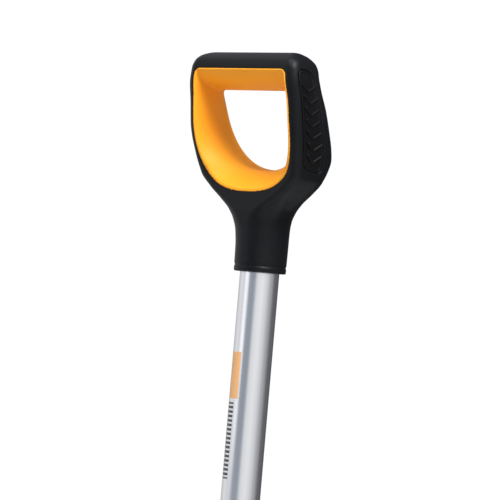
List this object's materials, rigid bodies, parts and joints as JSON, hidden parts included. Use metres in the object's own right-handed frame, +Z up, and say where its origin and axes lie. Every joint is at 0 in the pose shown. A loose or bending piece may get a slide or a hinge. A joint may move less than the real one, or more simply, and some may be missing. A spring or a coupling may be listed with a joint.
{
  "type": "collapsible avalanche shovel",
  "caption": "Snow shovel with a raked D-grip, telescoping round aluminium shaft with spring buttons and a take-off scoop blade.",
  "frame": {"origin": "centre of the D-grip's cross bar, where a hand holds it", "axes": "+Z up along the shaft towards the grip, +X to the right across the grip and the blade, -Y to the front, where the scoop opens"},
  "size_m": [0.244, 0.0978, 0.9658],
  "materials": {
    "black_plastic": "satin moulded nylon, charcoal black",
    "amber_rubber": "soft satin rubber, amber orange",
    "pad_rubber": "ribbed matt rubber",
    "anodised_tube": "clear anodised drawn tube",
    "blade_aluminium": "bead-blasted and clear anodised sheet",
    "grey_plastic": "matt acetal",
    "steel": "satin stainless steel"
  },
  "bodies": {
    "handle": {"handle_frame": "black_plastic", "grip_liner": "amber_rubber", "side_pad_right": "pad_rubber", "side_pad_left": "pad_rubber", "upper_tube": "anodised_tube", "tube_plug": "grey_plastic", "neck_rivet_upper": "steel", "neck_rivet_lower": "steel", "tube_collar": "black_plastic", "collar_rivet": "steel", "collar_wiper": "pad_rubber"},
    "lower_shaft": {"lower_tube": "anodised_tube", "glide_plug": "grey_plastic", "tube_foot": "grey_plastic", "shaft_button_spring": "steel", "blade_button_spring": "steel"},
    "shaft_button": {"shaft_button_pin": "steel"},
    "blade_button": {"blade_button_pin": "steel"},
    "blade": {"blade_socket": "black_plastic", "blade_plate": "blade_aluminium", "socket_rivet_1": "steel", "socket_rivet_2": "steel", "socket_rivet_3": "steel", "socket_rivet_4": "steel"}
  },
  "joints": [
    {"name": "shaft_telescope", "type": "slide", "parent": "handle", "child": "lower_shaft", "axis": [0, 0, 1], "range_m": [0, 0.205]},
    {"name": "shaft_button_press", "type": "slide", "parent": "lower_shaft", "child": "shaft_button", "axis": [0, 1, 0], "range_m": [0, 0.006], "stiffness_N_per_m": 600, "springref_m": 0.0075, "deforming": ["shaft_button_spring"]},
    {"name": "blade_button_press", "type": "slide", "parent": "lower_shaft", "child": "blade_button", "axis": [0, 1, 0], "range_m": [0, 0.006], "stiffness_N_per_m": 600, "springref_m": 0.0075, "deforming": ["blade_button_spring"]},
    {"name": "blade_detach", "type": "slide", "parent": "lower_shaft", "child": "blade", "axis": [0, 0, -1], "range_m": [0, 0.12]}
  ]
}
